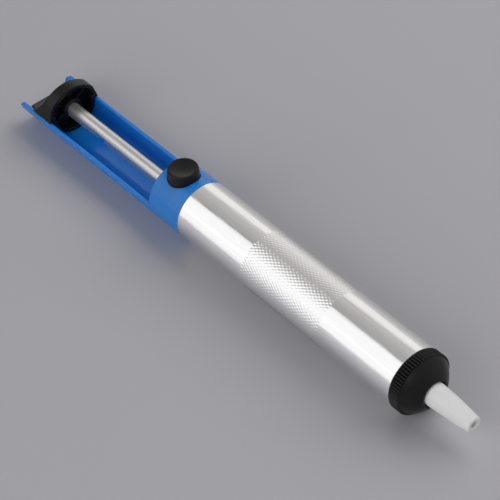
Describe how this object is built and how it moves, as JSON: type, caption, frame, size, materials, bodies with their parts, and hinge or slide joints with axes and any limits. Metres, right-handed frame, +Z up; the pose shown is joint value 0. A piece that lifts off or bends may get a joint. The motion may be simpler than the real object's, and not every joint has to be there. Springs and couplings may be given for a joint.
{
  "type": "desoldering pump",
  "caption": "Hand-held spring-driven suction pump with a metal barrel, an open-topped handle with plunger and release button, and a screw-on cap with a tapered nozzle.",
  "frame": {"origin": "on the table, below the barrel's axis and at the middle of the overall length", "axes": "+X along the barrel's axis towards the nozzle, +Z up through the release button"},
  "size_m": [0.2006, 0.0204, 0.0228],
  "materials": {
    "blue_plastic": "glossy moulded",
    "barrel_metal": "polished with a knurled band",
    "black_plastic": "fine satin",
    "white_ptfe": "soft, slightly translucent",
    "rod_steel": "polished",
    "spring_steel": "drawn wire",
    "bush_brass": "turned",
    "black_rubber": "matt"
  },
  "bodies": {
    "housing": {"handle": "blue_plastic", "barrel": "barrel_metal", "rod_bush": "bush_brass", "buffer_ring": "black_rubber", "main_spring": "spring_steel", "button_spring": "spring_steel"},
    "plunger": {"plunger_rod": "rod_steel", "plunger_knob": "black_plastic", "piston": "white_ptfe", "piston_o_ring": "black_rubber", "piston_washer": "spring_steel", "piston_nut": "spring_steel", "clearing_pin": "spring_steel"},
    "button": {"release_button": "black_plastic", "latch_plate": "spring_steel"},
    "cap_carriage": {"spring_seat": "white_ptfe"},
    "cap": {"front_cap": "black_plastic", "cap_seal": "black_rubber", "nozzle": "white_ptfe", "nozzle_seal": "black_rubber"}
  },
  "joints": [
    {"name": "plunger_slide", "type": "slide", "parent": "housing", "child": "plunger", "axis": [1, 0, 0], "range_m": [0, 0.048], "stiffness_N_per_m": 250, "springref_m": -0.03, "deforming": ["main_spring"]},
    {"name": "button_press", "type": "slide", "parent": "housing", "child": "button", "axis": [0, 0, -1], "range_m": [0, 0.002], "stiffness_N_per_m": 600, "springref_m": -0.001, "deforming": ["button_spring"]},
    {"name": "cap_advance", "type": "slide", "parent": "housing", "child": "cap_carriage", "axis": [1, 0, 0], "range_m": [0, 0.006], "deforming": ["main_spring"]},
    {"name": "cap_turn", "type": "hinge", "parent": "cap_carriage", "child": "cap", "pos_m": [0.08, 0, 0.0102], "axis": [1, 0, 0], "range_deg": [0, 1440]}
  ],
  "couplings": [
    {"joint": "cap_turn", "follows": "cap_advance", "rad_per_m": 4188.8}
  ]
}
